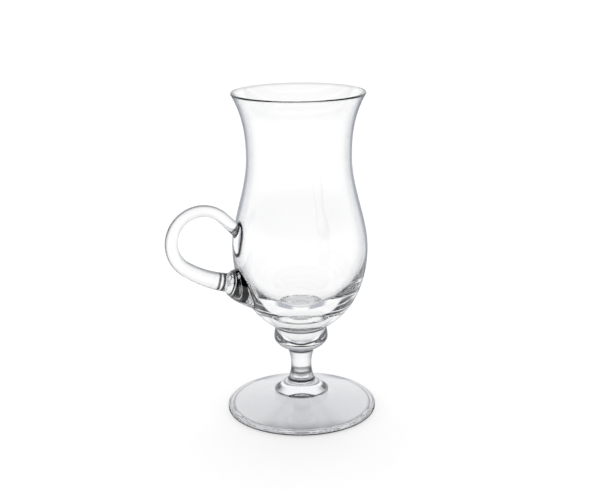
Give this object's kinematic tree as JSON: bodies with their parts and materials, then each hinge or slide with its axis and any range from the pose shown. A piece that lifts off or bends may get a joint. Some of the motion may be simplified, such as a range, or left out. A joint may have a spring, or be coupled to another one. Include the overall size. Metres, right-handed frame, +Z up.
{
  "type": "irish coffee glass mug",
  "caption": "Clear stemmed glass mug for hot coffee: round foot, short waisted stem, bead collar, tulip bowl with a flared rim, and a looped rod handle on its side.",
  "frame": {"origin": "centre of the foot's standing ring, where the glass stands on a table", "axes": "+Z up along the glass's axis, handle along -X, mirror plane XZ"},
  "size_m": [0.1083, 0.0766, 0.165],
  "materials": {
    "foot_glass": "clear, polished",
    "stem_glass": "clear, polished",
    "bowl_glass": "clear, fire polished",
    "handle_glass": "clear, fire polished"
  },
  "bodies": {
    "root": {"foot": "foot_glass", "stem": "stem_glass", "collar": "stem_glass", "bowl": "bowl_glass", "handle_pad": "handle_glass", "handle_rod": "handle_glass", "handle_tab": "handle_glass"}
  },
  "joints": []
}
